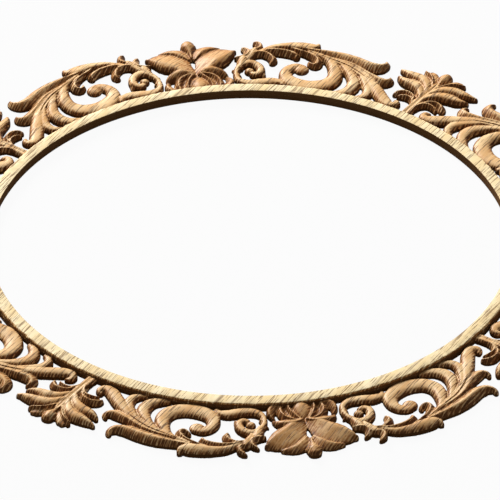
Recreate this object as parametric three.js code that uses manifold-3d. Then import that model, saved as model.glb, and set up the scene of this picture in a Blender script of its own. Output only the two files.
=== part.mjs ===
// A round carved wooden frame, lying on its back: a flat rim glued up from two layers of
// staggered segments, with four flowers, four leaf sprays and eight leafy scrolls doweled
// to its outer wall, and two ring hangers let into its back.
// Millimetres. +Z is the front, the back is the plane z = 0, and the rim's axis is the Z axis.

import * as THREE from 'three';
import { mergeVertices } from 'three/addons/utils/BufferGeometryUtils.js';
import Module from 'manifold-3d';

const wasm = await Module();
wasm.setup();

// Rim
const sightRadius = 395;
const rimWidth = 21;
const rimHeight = 15;
const frontLayerHeight = 7;
const outerArris = 2.5;
const sightArris = 0.6;
const segmentsPerLayer = 8;
const facetsPerSegment = 8;
const backLayerTurn = 16.5;

// Carving: each stroke is drawn for a rim of the drawn radius and grows with the rim
const drawnRimRadius = 416;
const carvingHeight = 13;
const crestShare = 0.56;
const ballSides = 8;

// Dowels that hold the carving to the rim
const dowelRadius = 2;
const dowelLength = 16;
const dowelCover = 3.1;
const dowelSides = 6;
const scrollDowelAngle = 22;

// Hangers
const hangerAngle = 34.6;
const strapWidth = 7;
const strapLength = 11;
const strapThickness = 1.2;
const barrelRadius = 2.2;
const ringWireRadius = 1;
const ringStraight = 4;

// Screws
const screwHeadRadius = 2.4;
const screwHeadHeight = 1.5;
const screwShankRadius = 1.3;
const screwDepth = 7.5;
const screwRecess = 0.4;
const screwSides = 8;
const roundSides = 4;

// Clearances
const glueGap = 0.3;
const boreClearance = 0.35;
const boreEndClearance = 0.5;
const runningGap = 0.3;
const pocketMargin = 1.5;

// Sizes that follow from those above
const rimRadius = sightRadius + rimWidth;
const backLayerHeight = rimHeight - frontLayerHeight - glueGap;
const dowelHeight = backLayerHeight - dowelCover;
const rimMidRadius = sightRadius + rimWidth / 2;
const carvingScale = rimRadius / drawnRimRadius;
const sectorAngle = 90;
const segmentAngle = 360 / segmentsPerLayer;

const carvedWood = new THREE.MeshStandardMaterial({ color: 0xb48550, roughness: 0.62, metalness: 0 });
const rimWood = new THREE.MeshStandardMaterial({ color: 0xd9b57e, roughness: 0.6, metalness: 0 });
const dowelWood = new THREE.MeshStandardMaterial({ color: 0xd2b48c, roughness: 0.7, metalness: 0 });
const steel = new THREE.MeshStandardMaterial({ color: 0xa9abae, roughness: 0.38, metalness: 1 });

// Carved strokes. A station is [degrees from the ornament's axis, reach beyond the rim,
// half width, crest as a share of the carving's height].
const scrollStrokes = [
  // big volute: from the stem down to the rim and round to its ball
  [[24, 85, 6, 0.9], [26, 65, 10.5, 0.93], [26.8, 43, 13, 0.88], [25.8, 23.5, 14, 0.86], [23.2, 12.5, 14, 0.86],
    [20.4, 13, 14, 0.86], [18.1, 24, 12.5, 0.82], [17.3, 40, 10.5, 0.78], [17.8, 53, 9.5, 0.74],
    [19, 60, 9, 0.7]],
  // small curl: from its knob beside the volute, along the rim, up its far side and round to its bud
  [[17.2, 9.5, 5, 0.7], [16.3, 15, 8, 0.78], [14.6, 15.5, 10, 0.8], [12.6, 11.5, 10, 0.85], [10.4, 9, 9, 0.82],
    [8.4, 16, 6.5, 0.8], [7.7, 31, 5, 0.8], [8.1, 48, 5.5, 0.84], [9.3, 60.5, 7, 0.86], [10.8, 62, 7.5, 0.88],
    [12.1, 53, 7.5, 0.88], [12.5, 41, 7, 0.86], [11.8, 33, 6.5, 0.8], [10.9, 34, 5, 0.7]],
  // main stem, to its curled foot beside the leaf spray
  [[20.6, 99, 4, 0.9], [24.5, 86, 5, 1], [28.5, 75, 6.5, 1], [32.3, 58, 8.5, 0.98], [36, 34, 11, 0.94],
    [38.5, 18, 11.5, 0.9], [40.3, 11.5, 9.5, 0.86], [41.5, 17, 7, 0.82], [41, 26.5, 4, 0.68]],
  // big leaf with its blunt tip
  [[19.6, 103.5, 5, 0.95], [22.5, 101, 8, 1.05], [26, 98, 12.5, 1.1], [29, 94, 13.5, 1.1],
    [31.7, 89, 12.5, 1.06], [33.4, 91, 11.5, 1], [34.2, 98, 9, 0.9], [34.2, 107, 4, 0.6]],
  // second leaf with its blunt tip
  [[28, 82, 6, 0.98], [32.5, 66, 8.5, 1], [35.1, 58.5, 11, 0.98], [36.4, 60.5, 9.5, 0.92],
    [36.8, 66.5, 7.5, 0.84], [36.7, 74, 3.5, 0.6]],
  // two leaves that curl over along the rim towards the volute
  [[27.6, 71, 5, 0.85], [29, 60, 7.5, 0.92], [30.7, 42, 10.5, 0.92], [31.1, 25, 11.5, 0.86],
    [30.2, 11, 10, 0.8], [28.6, 4, 7.5, 0.74], [26.8, 2, 3, 0.5]],
  [[31.4, 58, 5, 0.85], [32.8, 45, 6.5, 0.88], [34.4, 28, 8.5, 0.86], [34.6, 14, 8.5, 0.8],
    [33.6, 5, 6.5, 0.74], [31.9, 1.5, 3, 0.5]],
  // upper leaf with its blunt tip, and the two inner leaflets that hang from its stem
  [[12, 93, 4, 0.85], [14.4, 106, 6.5, 0.9], [17, 111, 9, 1], [19, 110.5, 11, 1.04], [20.6, 112, 10, 1],
    [21.5, 119.5, 5, 0.7]],
  [[11.6, 88, 4.5, 0.9], [13.8, 97, 7, 1], [16, 99.5, 8, 1], [17.9, 95.5, 7.5, 0.98], [18.9, 87.5, 7, 0.92],
    [19.1, 77, 3.5, 0.6]],
  [[20.8, 98, 6, 1], [22.3, 91.5, 8.5, 1], [23.3, 81, 10, 0.98], [23.5, 70.5, 9.5, 0.92],
    [22.9, 63, 8, 0.84], [21.6, 65.5, 4, 0.6]],
  // calyx: hooked leaflet and two cupped ones beside the flower
  [[9.6, 64, 5, 0.85], [9.9, 75, 5.5, 0.92], [11.2, 86, 7, 0.98], [12.8, 88.5, 7.5, 0.98],
    [14.1, 81, 7.5, 0.95], [14.6, 72, 7, 0.88], [14.5, 64, 3.5, 0.6]],
  [[10.2, 78, 5.5, 0.9], [10.9, 96, 9.5, 1], [11.4, 108, 8.5, 0.96], [10.9, 117.5, 4, 0.65]],
  [[8.5, 52, 5.5, 0.85], [9.05, 72, 8.5, 0.98], [9.35, 89, 8.5, 0.96], [8.9, 103, 4, 0.65]],
];
// A ball is [degrees, reach, radius, crest share].
const scrollBall = [20.1, 54.5, 12, 0.72];

const flowerMiddle = [
  // outer bud and the middle bud that is seated on the rim
  [[0, 84, 3.5, 0.8], [0, 96, 5, 0.86], [0, 107.5, 11, 1.02], [0, 116, 11.5, 1], [0, 124.5, 7, 0.8],
    [0, 128, 2.5, 0.5]],
  [[0, -2, 12, 0.8], [0, 10, 15, 0.9], [0, 22, 12.5, 0.92], [0, 34, 6, 0.84]],
];
const flowerSide = [
  // upper petal, large petal, arched petal, side bud and hooked leaflet
  [[0.5, 78, 4, 0.8], [1.6, 91, 10.5, 0.98], [3, 100.5, 11, 0.98], [4.3, 104.5, 8, 0.9], [5.5, 106, 2.5, 0.5]],
  [[0.4, 31, 5, 0.85], [1.9, 50, 17, 1.08], [3.6, 67.5, 24, 1.1], [5.5, 82.5, 20.5, 1.06],
    [6.9, 93.5, 10.5, 0.92], [7.6, 100, 4, 0.6]],
  [[0.3, 33, 4.5, 0.9], [1.7, 40.5, 6.5, 0.98], [3.5, 42.5, 7, 1], [5.1, 39.5, 6.5, 0.94], [6.5, 32, 2.5, 0.6]],
  [[4, -2, 9, 0.74], [4.1, 10, 10.5, 0.82], [3.6, 22, 9.5, 0.84], [2.6, 34, 6, 0.82]],
  [[5.4, 36, 4, 0.74], [6.1, 25, 6, 0.8], [6.4, 13, 6.5, 0.82], [5.9, 2, 6.5, 0.76], [5, -2, 5, 0.7]],
];

const sprayMiddle = [
  // central rib and the bud at its end
  [[0, -2, 9, 0.85], [0, 22, 7, 0.96], [0, 60, 6, 1.06], [0, 92, 5, 1.02]],
  [[0, 84, 4.5, 0.95], [0, 97, 5.5, 0.95], [0, 107, 10.5, 1.04], [0, 115.5, 10, 1], [0, 123, 5, 0.7]],
];
const spraySide = [
  // curled leaf near the rim, two long leaves and a short one beside the bud
  [[0.6, 17, 6.5, 0.88], [1.6, 36, 9, 0.92], [3.1, 46.5, 10, 0.88], [4.5, 45, 9, 0.82], [5, 35, 3, 0.5]],
  [[0.4, 44, 6, 0.95], [2, 58, 11, 1.04], [4.2, 68, 12, 1.04], [5.9, 75, 9.5, 0.96], [7.1, 86, 3, 0.6]],
  [[0.3, 64, 6, 0.95], [2.2, 80, 12, 1.06], [4.4, 92, 12, 1.06], [6.3, 99, 8.5, 0.96], [7.8, 107, 2.5, 0.6]],
  [[0.3, 82, 6, 0.95], [1.5, 97, 10, 1], [2.7, 109, 9.5, 0.96], [3.4, 119, 3.5, 0.6]],
];

/** Point at an angle in degrees and a radius from the rim's axis. */
function polar(angle, radius, z = 0) {
  const turn = THREE.MathUtils.degToRad(angle);
  return new THREE.Vector3(radius * Math.cos(turn), radius * Math.sin(turn), z);
}

/** Closed three.js geometry as a solid that can be joined and cut. */
function toSolid(geometry) {
  const bare = geometry.clone();
  bare.deleteAttribute('normal');
  bare.deleteAttribute('uv');
  const merged = mergeVertices(bare, 1e-4);
  return new wasm.Manifold(new wasm.Mesh({
    numProp: 3,
    vertProperties: new Float32Array(merged.attributes.position.array),
    triVerts: new Uint32Array(merged.index.array),
  }));
}

/** Solid as three.js geometry. */
function toGeometry(solid) {
  const mesh = solid.getMesh();
  const geometry = new THREE.BufferGeometry();
  geometry.setAttribute('position', new THREE.BufferAttribute(mesh.vertProperties, 3));
  geometry.setIndex(new THREE.BufferAttribute(mesh.triVerts, 1));
  geometry.computeVertexNormals();
  return geometry;
}

/** Join of a list of solids. */
function joined(solids) {
  return solids.reduce((whole, solid) => whole.add(solid));
}

/** Solid with a list of others taken away. */
function without(solid, cutters) {
  return cutters.reduce((rest, cutter) => rest.subtract(cutter), solid);
}

/** Place on an ornament whose axis is the X axis: side is 1 or -1, for its two hands. */
function onRim(side, degrees, reach) {
  return polar(side * degrees, rimRadius + reach * carvingScale);
}

/** One carved stroke with a flat back, sloping sides and a flat crest. */
function strokeSolid(side, stations) {
  const section = [[-1, 0], [-crestShare, 1], [crestShare, 1], [1, 0]];
  const corners = section.length;
  const places = stations.map(([degrees, reach]) => onRim(side, degrees, reach));
  const path = new THREE.CatmullRomCurve3(places, false, 'catmullrom');
  const positions = [];
  const faces = [];
  stations.forEach(([, , halfWidth, crest], index) => {
    const along = path.getTangent(index / (stations.length - 1));
    const across = new THREE.Vector3(along.y, -along.x, 0).multiplyScalar(halfWidth * carvingScale);
    for (const [share, height] of section) {
      positions.push(places[index].x + share * across.x, places[index].y + share * across.y,
        height * crest * carvingHeight);
    }
  });
  for (let span = 0; span < stations.length - 1; span += 1) {
    for (let corner = 0; corner < corners; corner += 1) {
      const here = corners * span + corner;
      const beside = corners * span + (corner + 1) % corners;
      faces.push(here, beside, beside + corners, here, beside + corners, here + corners);
    }
  }
  const last = corners * (stations.length - 1);
  for (let corner = 1; corner < corners - 1; corner += 1) {
    faces.push(0, corner + 1, corner, last, last + corner, last + corner + 1);
  }
  const geometry = new THREE.BufferGeometry();
  geometry.setAttribute('position', new THREE.Float32BufferAttribute(positions, 3));
  geometry.setIndex(faces);
  return toSolid(geometry);
}

/** Rounded ball end of a scroll, flat at the back. */
function ballSolid(side, [degrees, reach, radius, crest]) {
  const height = crest * carvingHeight;
  const size = radius * carvingScale;
  const profile = [[0, 0], [size, 0], [0.82 * size, 0.7 * height], [0.4 * size, height], [0, height]];
  const geometry = new THREE.LatheGeometry(profile.map(([x, y]) => new THREE.Vector2(x, y)), ballSides);
  geometry.rotateX(Math.PI / 2);
  const place = onRim(side, degrees, reach);
  geometry.translate(place.x, place.y, 0);
  return toSolid(geometry);
}

/** Round rod from one point to another. */
function rodSolid(radius, sides, from, to) {
  const along = new THREE.Vector3().subVectors(to, from);
  const geometry = new THREE.CylinderGeometry(radius, radius, along.length(), sides);
  const turn = new THREE.Quaternion().setFromUnitVectors(new THREE.Vector3(0, 1, 0), along.normalize());
  geometry.applyQuaternion(turn);
  const middle = new THREE.Vector3().addVectors(from, to).multiplyScalar(0.5);
  geometry.translate(middle.x, middle.y, middle.z);
  return toSolid(geometry);
}

/** Dowel, or with a clearance the bore for it, across the rim's outer wall. */
function dowelSolid(angle, clearance, endClearance) {
  const reach = dowelLength / 2 + endClearance;
  return rodSolid(dowelRadius + clearance, dowelSides,
    polar(angle, rimRadius - reach, dowelHeight), polar(angle, rimRadius + reach, dowelHeight));
}

/** Bore for a dowel. */
function dowelBore(angle) {
  return dowelSolid(angle, boreClearance, boreEndClearance);
}

// Everything inside this disc is the rim's own place, so the carving stops a glue gap short of it.
const rimPlace = toSolid(new THREE.CylinderGeometry(rimRadius + glueGap, rimRadius + glueGap, 4 * rimHeight,
  2 * segmentsPerLayer * facetsPerSegment).rotateX(Math.PI / 2));

/** Arc round the rim's axis, as the path of a rim segment. */
class RimArc extends THREE.Curve {
  constructor(radius, startAngle, endAngle) {
    super();
    Object.assign(this, { radius, startAngle, endAngle });
  }

  getPoint(t, target = new THREE.Vector3()) {
    return target.copy(polar(THREE.MathUtils.lerp(this.startAngle, this.endAngle, t), this.radius));
  }
}

/** Rim segment: a profile of [radius, z] points swept between two angles, less its joint gap. */
function segmentSolid(profile, startAngle) {
  const gapAngle = THREE.MathUtils.radToDeg(glueGap / rimMidRadius);
  const arc = new RimArc(rimMidRadius, startAngle + gapAngle / 2, startAngle + segmentAngle - gapAngle / 2);
  const shape = new THREE.Shape(profile.map(([radius, z]) => new THREE.Vector2(-z, rimMidRadius - radius)));
  return toSolid(new THREE.ExtrudeGeometry(shape, { steps: facetsPerSegment, extrudePath: arc }));
}

/** True where an angle lies in the segment that starts at another. */
function inSegment(angle, startAngle) {
  return THREE.MathUtils.euclideanModulo(angle - startAngle, 360) < segmentAngle;
}

/** Box between two corners. */
function boxGeometry(low, high) {
  const size = new THREE.Vector3().subVectors(high, low);
  const middle = new THREE.Vector3().addVectors(low, high).multiplyScalar(0.5);
  return new THREE.BoxGeometry(size.x, size.y, size.z).translate(middle.x, middle.y, middle.z);
}

/** Bore for a screw's shank. */
function screwBore(x, depthTop) {
  return rodSolid(screwShankRadius + boreClearance, screwSides,
    new THREE.Vector3(x, 0, -rimHeight), new THREE.Vector3(x, 0, depthTop + boreEndClearance));
}

// Hanger: a folded strap whose barrel holds a D-shaped ring, in the hanger's own frame
const strapScrewX = -0.55 * strapLength;
const barrelZ = screwRecess + barrelRadius;
const strapHigh = barrelZ + barrelRadius;
const strapLow = strapHigh - strapThickness;
const hangerPocketDepth = strapHigh + runningGap;
const ringHalfWidth = strapWidth / 2 + runningGap + ringWireRadius;

/** Strap with a rolled barrel at x = 0 and a screw hole. */
function strapGeometry() {
  const rollEnd = Math.PI - Math.asin((strapLow - barrelZ) / barrelRadius);
  const side = new THREE.Shape();
  side.moveTo(-strapLength, strapLow);
  side.absarc(0, barrelZ, barrelRadius, rollEnd, 2.5 * Math.PI, false);
  side.lineTo(-strapLength, strapHigh);
  const eye = new THREE.Path().absarc(0, barrelZ, ringWireRadius + boreClearance, 0, 2 * Math.PI, true);
  side.holes.push(eye);
  const options = { depth: strapWidth, bevelEnabled: false, curveSegments: roundSides };
  const plate = new THREE.ExtrudeGeometry(side, options).rotateX(Math.PI / 2);
  plate.translate(0, strapWidth / 2, 0);
  return toGeometry(toSolid(plate).subtract(screwBore(strapScrewX, rimHeight)));
}

/** Screw through the strap, with its domed head facing the back. */
function strapScrew() {
  const headTop = strapLow - runningGap;
  const profile = [
    [0, headTop - screwHeadHeight], [0.7 * screwHeadRadius, headTop - screwHeadHeight],
    [screwHeadRadius, headTop - 0.4 * screwHeadHeight], [screwHeadRadius, headTop],
    [screwShankRadius, headTop],
    [screwShankRadius, headTop + screwDepth - screwShankRadius], [0, headTop + screwDepth],
  ];
  const points = profile.map(([radius, height]) => new THREE.Vector2(radius, height));
  return new THREE.LatheGeometry(points, screwSides).rotateX(Math.PI / 2).translate(strapScrewX, 0, 0);
}

/** Closed D of the ring's wire: a bar in the barrel, two straight sides and a round bow. */
class RingLoop extends THREE.Curve {
  getPoint(t, target = new THREE.Vector3()) {
    const bar = 2 * ringHalfWidth;
    const bow = Math.PI * ringHalfWidth;
    let walked = t * (bar + 2 * ringStraight + bow);
    if (walked <= bar) {
      return target.set(0, -ringHalfWidth + walked, barrelZ);
    }
    walked -= bar;
    if (walked <= ringStraight) {
      return target.set(walked, ringHalfWidth, barrelZ);
    }
    walked -= ringStraight;
    if (walked <= bow) {
      const turn = walked / ringHalfWidth;
      const bowX = ringStraight + ringHalfWidth * Math.sin(turn);
      return target.set(bowX, ringHalfWidth * Math.cos(turn), barrelZ);
    }
    walked -= bow;
    return target.set(ringStraight - walked, -ringHalfWidth, barrelZ);
  }
}

/** D-shaped wire ring. */
function ringGeometry() {
  return new THREE.TubeGeometry(new RingLoop(), 20, ringWireRadius, 6, true);
}

/** Pocket for a hanger. */
function hangerPocket() {
  const bowEnd = ringStraight + ringHalfWidth + ringWireRadius;
  const halfWidth = ringHalfWidth + ringWireRadius + runningGap;
  return boxGeometry(
    new THREE.Vector3(-strapLength - pocketMargin, -halfWidth, -rimHeight),
    new THREE.Vector3(bowEnd + pocketMargin, halfWidth, hangerPocketDepth));
}

/** Group that is turned about the rim's axis, in a parent group. */
function turnedGroup(parent, angle) {
  const group = new THREE.Group();
  group.rotation.z = THREE.MathUtils.degToRad(angle);
  parent.add(group);
  return group;
}

/** Adds one named piece to a group. */
function addPiece(group, name, geometry, material) {
  const mesh = new THREE.Mesh(geometry, material);
  mesh.name = name;
  group.add(mesh);
  return mesh;
}

/** Strokes on an ornament's axis, with those on each hand of it. */
function bothSides(middle, half) {
  return [
    ...middle.map((stroke) => strokeSolid(1, stroke)),
    ...[1, -1].flatMap((side) => half.map((stroke) => strokeSolid(side, stroke))),
  ];
}

/** Strokes and ball of one hand of the scroll. */
function scroll(side) {
  return [...scrollStrokes.map((stroke) => strokeSolid(side, stroke)), ballSolid(side, scrollBall)];
}

const frame = new THREE.Group();

// Ornaments: each kind has its axis in the sector, and one dowel at an angle from that axis
const sectors = [0, 1, 2, 3];
const ornaments = [
  { kind: 'flower', axis: 0, dowel: 0, solids: bothSides(flowerMiddle, flowerSide) },
  { kind: 'leaf_spray', axis: sectorAngle / 2, dowel: 0, solids: bothSides(sprayMiddle, spraySide) },
  { kind: 'left_scroll', axis: 0, dowel: scrollDowelAngle, solids: scroll(1) },
  { kind: 'right_scroll', axis: 0, dowel: -scrollDowelAngle, solids: scroll(-1) },
];
const dowelAngles = sectors.flatMap((sector) => (
  ornaments.map(({ axis, dowel }) => sector * sectorAngle + axis + dowel)));

// Hangers: each lies along the rim, with the bow of its ring towards the top
const hangers = [1, -1].map((towards) => {
  const angle = 90 - towards * hangerAngle;
  const group = turnedGroup(frame, angle + 90 * towards);
  group.position.copy(polar(angle, rimMidRadius));
  group.updateMatrixWorld();
  return { angle, group };
});

/** Cutters of the hangers that reach into the segment that starts at an angle. */
function hangerCuts(startAngle) {
  const bore = toGeometry(screwBore(strapScrewX, strapLow - runningGap + screwDepth));
  return hangers.filter(({ angle }) => inSegment(angle, startAngle)).flatMap(({ group }) => (
    [hangerPocket(), bore].map((geometry) => toSolid(geometry.clone().applyMatrix4(group.matrixWorld)))));
}

// Rim: two layers of segments, each layer's joints over the middles of the other's segments
const frontProfile = [
  [sightRadius, rimHeight - frontLayerHeight], [rimRadius, rimHeight - frontLayerHeight],
  [rimRadius, rimHeight - outerArris], [rimRadius - outerArris, rimHeight],
  [sightRadius + sightArris, rimHeight], [sightRadius, rimHeight - sightArris],
];
const backProfile = [
  [sightRadius, 0], [rimRadius, 0], [rimRadius, backLayerHeight], [sightRadius, backLayerHeight],
];
for (let segment = 0; segment < segmentsPerLayer; segment += 1) {
  const backStart = backLayerTurn + segment * segmentAngle;
  const frontStart = backStart + segmentAngle / 2;
  const bores = dowelAngles.filter((angle) => inSegment(angle, backStart)).map((angle) => dowelBore(angle));
  const back = without(segmentSolid(backProfile, backStart), [...bores, ...hangerCuts(backStart)]);
  const front = without(segmentSolid(frontProfile, frontStart), hangerCuts(frontStart));
  addPiece(frame, `rim_front_segment_${segment + 1}`, toGeometry(front), rimWood);
  addPiece(frame, `rim_back_segment_${segment + 1}`, toGeometry(back), rimWood);
}

// Carving: one sector's ornaments, repeated round the rim
const dowelGeometry = toGeometry(dowelSolid(0, 0, 0));
const carvings = ornaments.map(({ solids, dowel }) => (
  toGeometry(without(joined(solids), [rimPlace, dowelBore(dowel)]))));
for (const sector of sectors) {
  const sectorGroup = turnedGroup(frame, sector * sectorAngle);
  ornaments.forEach(({ kind, axis, dowel }, index) => {
    const ornamentGroup = turnedGroup(sectorGroup, axis);
    addPiece(ornamentGroup, `${kind}_${sector + 1}`, carvings[index], carvedWood);
    const dowelMesh = addPiece(ornamentGroup, `${kind}_dowel_${sector + 1}`, dowelGeometry, dowelWood);
    dowelMesh.rotation.z = THREE.MathUtils.degToRad(dowel);
  });
}

// Hardware
hangers.forEach(({ group }, index) => {
  addPiece(group, `hanger_strap_${index + 1}`, strapGeometry(), steel);
  addPiece(group, `hanger_ring_${index + 1}`, ringGeometry(), steel);
  addPiece(group, `hanger_screw_${index + 1}`, strapScrew(), steel);
});

export default frame;
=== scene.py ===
"""Round carved wooden frame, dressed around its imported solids.

The rim is glued up from planed segments, the ornaments are carved strokes joined into one skin each,
and the ring hangers on the back are small pressed steel pieces. Lengths in the classes are
millimetres; everything that reaches the scene is in metres.
"""

import logging
import math
from collections.abc import Iterator
from contextlib import contextmanager
from dataclasses import dataclass, replace
from enum import Enum

import bpy
import numpy as np
from mathutils import Matrix, Vector, noise


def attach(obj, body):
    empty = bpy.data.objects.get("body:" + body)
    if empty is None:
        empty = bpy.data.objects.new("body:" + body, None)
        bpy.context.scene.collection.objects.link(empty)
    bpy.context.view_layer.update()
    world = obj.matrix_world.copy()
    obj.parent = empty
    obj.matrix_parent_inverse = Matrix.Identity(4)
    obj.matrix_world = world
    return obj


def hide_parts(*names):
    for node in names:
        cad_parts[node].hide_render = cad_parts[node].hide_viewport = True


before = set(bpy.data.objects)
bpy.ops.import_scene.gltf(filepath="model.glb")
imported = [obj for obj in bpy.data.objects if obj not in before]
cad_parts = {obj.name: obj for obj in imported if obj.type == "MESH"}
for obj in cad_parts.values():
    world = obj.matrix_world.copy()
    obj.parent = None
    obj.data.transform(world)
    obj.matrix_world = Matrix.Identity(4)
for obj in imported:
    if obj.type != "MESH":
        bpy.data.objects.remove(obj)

LOG = logging.getLogger("carved_frame")
MM = 0.001
BODY = "frame"
WHITE = (1.0, 1.0, 1.0, 1.0)

Station = tuple[float, float, float, float]


class Hand(Enum):
    """Side of a flower that a scroll stands on."""

    LEFT = 1
    RIGHT = -1


class Layer(Enum):
    """Layer of the rim."""

    FRONT = "front"
    BACK = "back"


# Small tools for selecting, editing and measuring meshes


def choose(*objects: bpy.types.Object) -> None:
    """Deselects everything, then selects the given objects and makes the first one active.

    Args:
        objects: Objects to select.
    """
    choose_none()
    for obj in objects:
        obj.select_set(True)
    bpy.context.view_layer.objects.active = objects[0]


def choose_none() -> None:
    """Leaves nothing selected."""
    bpy.ops.object.select_all(action="DESELECT")


def smooth(obj: bpy.types.Object, degrees: float) -> None:
    """Shades an object smooth, but for edges that are sharper than an angle."""
    choose(obj)
    bpy.ops.object.shade_smooth_by_angle(angle=math.radians(degrees))


@contextmanager
def editing(obj: bpy.types.Object) -> Iterator[None]:
    """Edit mode on one object, with its whole mesh selected.

    Args:
        obj: Mesh object to edit.
    """
    choose(obj)
    bpy.ops.object.mode_set(mode="EDIT")
    bpy.ops.mesh.select_all(action="SELECT")
    yield
    bpy.ops.object.mode_set(mode="OBJECT")


def apply_modifiers(obj: bpy.types.Object) -> None:
    """Applies an object's modifiers in order.

    Args:
        obj: Mesh object.
    """
    choose(obj)
    for modifier in list(obj.modifiers):
        bpy.ops.object.modifier_apply(modifier=modifier.name)


def settle(obj: bpy.types.Object) -> None:
    """Moves an object's place, turn and scale into its mesh."""
    choose(obj)
    bpy.ops.object.transform_apply(location=True, rotation=True, scale=True)


def close_up(obj: bpy.types.Object, merge: float = 1e-6) -> None:
    """Merges an object's double points, fills its holes and turns its faces outwards.

    Args:
        obj: Mesh object to close.
        merge: Distance in metres within which points merge.
    """
    with editing(obj):
        bpy.ops.mesh.remove_doubles(threshold=merge)
        bpy.ops.mesh.select_all(action="SELECT")
        bpy.ops.mesh.fill_holes(sides=0)
        bpy.ops.mesh.select_all(action="SELECT")
        bpy.ops.mesh.normals_make_consistent(inside=False)


def copied(obj: bpy.types.Object, name: str) -> bpy.types.Object:
    """Copies an object, with a mesh of its own.

    Args:
        obj: Object to copy.
        name: Name of the copy.

    Returns:
        The copy, selected and active.
    """
    choose(obj)
    bpy.ops.object.duplicate()
    made = bpy.context.active_object
    made.name = name
    return made


def rolled_sheet(name: str, points: np.ndarray) -> bpy.types.Object:
    """Grid whose points are laid at given places, as a sheet is rolled round a core.

    Args:
        name: Name of the new object.
        points: Places in metres, one row of the sheet after another, rows by columns by 3.

    Returns:
        The sheet, still open at its seam and ends.
    """
    rows, columns = points.shape[:2]
    choose_none()
    bpy.ops.mesh.primitive_grid_add(x_subdivisions=columns - 1, y_subdivisions=rows - 1, size=1.0)
    sheet = bpy.context.active_object
    sheet.name = name
    share = points_of(sheet)[:, :2] + 0.5
    column = np.rint(share[:, 0] * (columns - 1)).astype(int)
    row = np.rint(share[:, 1] * (rows - 1)).astype(int)
    place_points(sheet, points[row, column])
    return sheet


def boolean(obj: bpy.types.Object, tool: bpy.types.Object, operation: str) -> None:
    """Joins or cuts an object with a tool, which is then deleted.

    Args:
        obj: Object that stays.
        tool: Object that is used up.
        operation: UNION, DIFFERENCE or INTERSECT.
    """
    modifier = obj.modifiers.new("cut", "BOOLEAN")
    modifier.operation = operation
    modifier.solver = "EXACT"
    modifier.object = tool
    apply_modifiers(obj)
    bpy.data.objects.remove(tool)


def points_of(obj: bpy.types.Object) -> np.ndarray:
    """Places of an object's points.

    Args:
        obj: Mesh object.

    Returns:
        Places in metres, as rows of 3.
    """
    flat = np.empty(len(obj.data.vertices) * 3, np.float32)
    obj.data.vertices.foreach_get("co", flat)
    return flat.reshape(-1, 3)


def place_points(obj: bpy.types.Object, points: np.ndarray) -> None:
    """Moves an object's points to given places in metres."""
    obj.data.vertices.foreach_set("co", points.astype(np.float32).ravel())
    obj.data.update()


def linear(code: str) -> tuple[float, float, float, float]:
    """Linear colour of a six-figure screen colour.

    Args:
        code: Screen colour as hexadecimal figures, such as "c8a070".

    Returns:
        Red, green, blue and alpha for a colour socket.
    """
    shares = [int(code[index:index + 2], 16) / 255 for index in (0, 2, 4)]
    parts = [s / 12.92 if s <= 0.04045 else ((s + 0.055) / 1.055) ** 2.4 for s in shares]
    return parts[0], parts[1], parts[2], 1.0


# Finishes


class Nodes:
    """Short way to add and link the nodes of one tree."""

    def __init__(self, tree: bpy.types.NodeTree) -> None:
        """Takes the tree that nodes are added to."""
        self.tree = tree

    def add(self, kind: str, links: dict | None = None, **settings: object) -> bpy.types.Node:
        """Adds a node, sets its properties and fills its inputs.

        Args:
            kind: Node type, such as "ShaderNodeMix".
            links: Input name or number to an output socket or a plain value.
            settings: Properties of the node itself.

        Returns:
            The new node.
        """
        node = self.tree.nodes.new(kind)
        for key, value in settings.items():
            setattr(node, key, value)
        for key, value in (links or {}).items():
            if isinstance(value, bpy.types.NodeSocket):
                self.tree.links.new(value, node.inputs[key])
            else:
                node.inputs[key].default_value = value
        return node

    def math(self, operation: str, *values: object) -> bpy.types.NodeSocket:
        """Output of a Math node on sockets or numbers."""
        node = self.add("ShaderNodeMath", dict(enumerate(values)), operation=operation)
        return node.outputs[0]

    def spread(self, value: bpy.types.NodeSocket, low: float, high: float, to_low: float = 0.0,
               to_high: float = 1.0) -> bpy.types.NodeSocket:
        """Smooth step of a value from one range to another.

        Args:
            value: Socket to map.
            low: Value that gives to_low.
            high: Value that gives to_high.
            to_low: Lower result.
            to_high: Higher result.

        Returns:
            The mapped socket.
        """
        node = self.add("ShaderNodeMapRange", {0: value, 1: low, 2: high, 3: to_low, 4: to_high},
                        interpolation_type="SMOOTHSTEP")
        return node.outputs[0]

    def blend(self, share: object, first: object, second: object,
              blend_type: str = "MIX") -> bpy.types.NodeSocket:
        """Colour between two others.

        Args:
            share: Socket or number from 0, the first colour, to 1, the second.
            first: Colour or socket.
            second: Colour or socket.
            blend_type: How the second lies on the first.

        Returns:
            The blended colour.
        """
        node = self.add("ShaderNodeMix", {0: share, 6: first, 7: second}, data_type="RGBA",
                        blend_type=blend_type)
        return node.outputs[2]

    def surface(self, shader: bpy.types.Node, kind: str = "ShaderNodeOutputMaterial") -> None:
        """Leads a shader to a new output node."""
        self.add(kind, {"Surface": shader.outputs[0]})


def bare(owner: bpy.types.Material | bpy.types.World) -> Nodes:
    """Switches a new material or world to nodes and empties its tree.

    Args:
        owner: Material or world.

    Returns:
        Helper for its tree.
    """
    owner.use_nodes = True
    owner.node_tree.nodes.clear()
    return Nodes(owner.node_tree)


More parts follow.
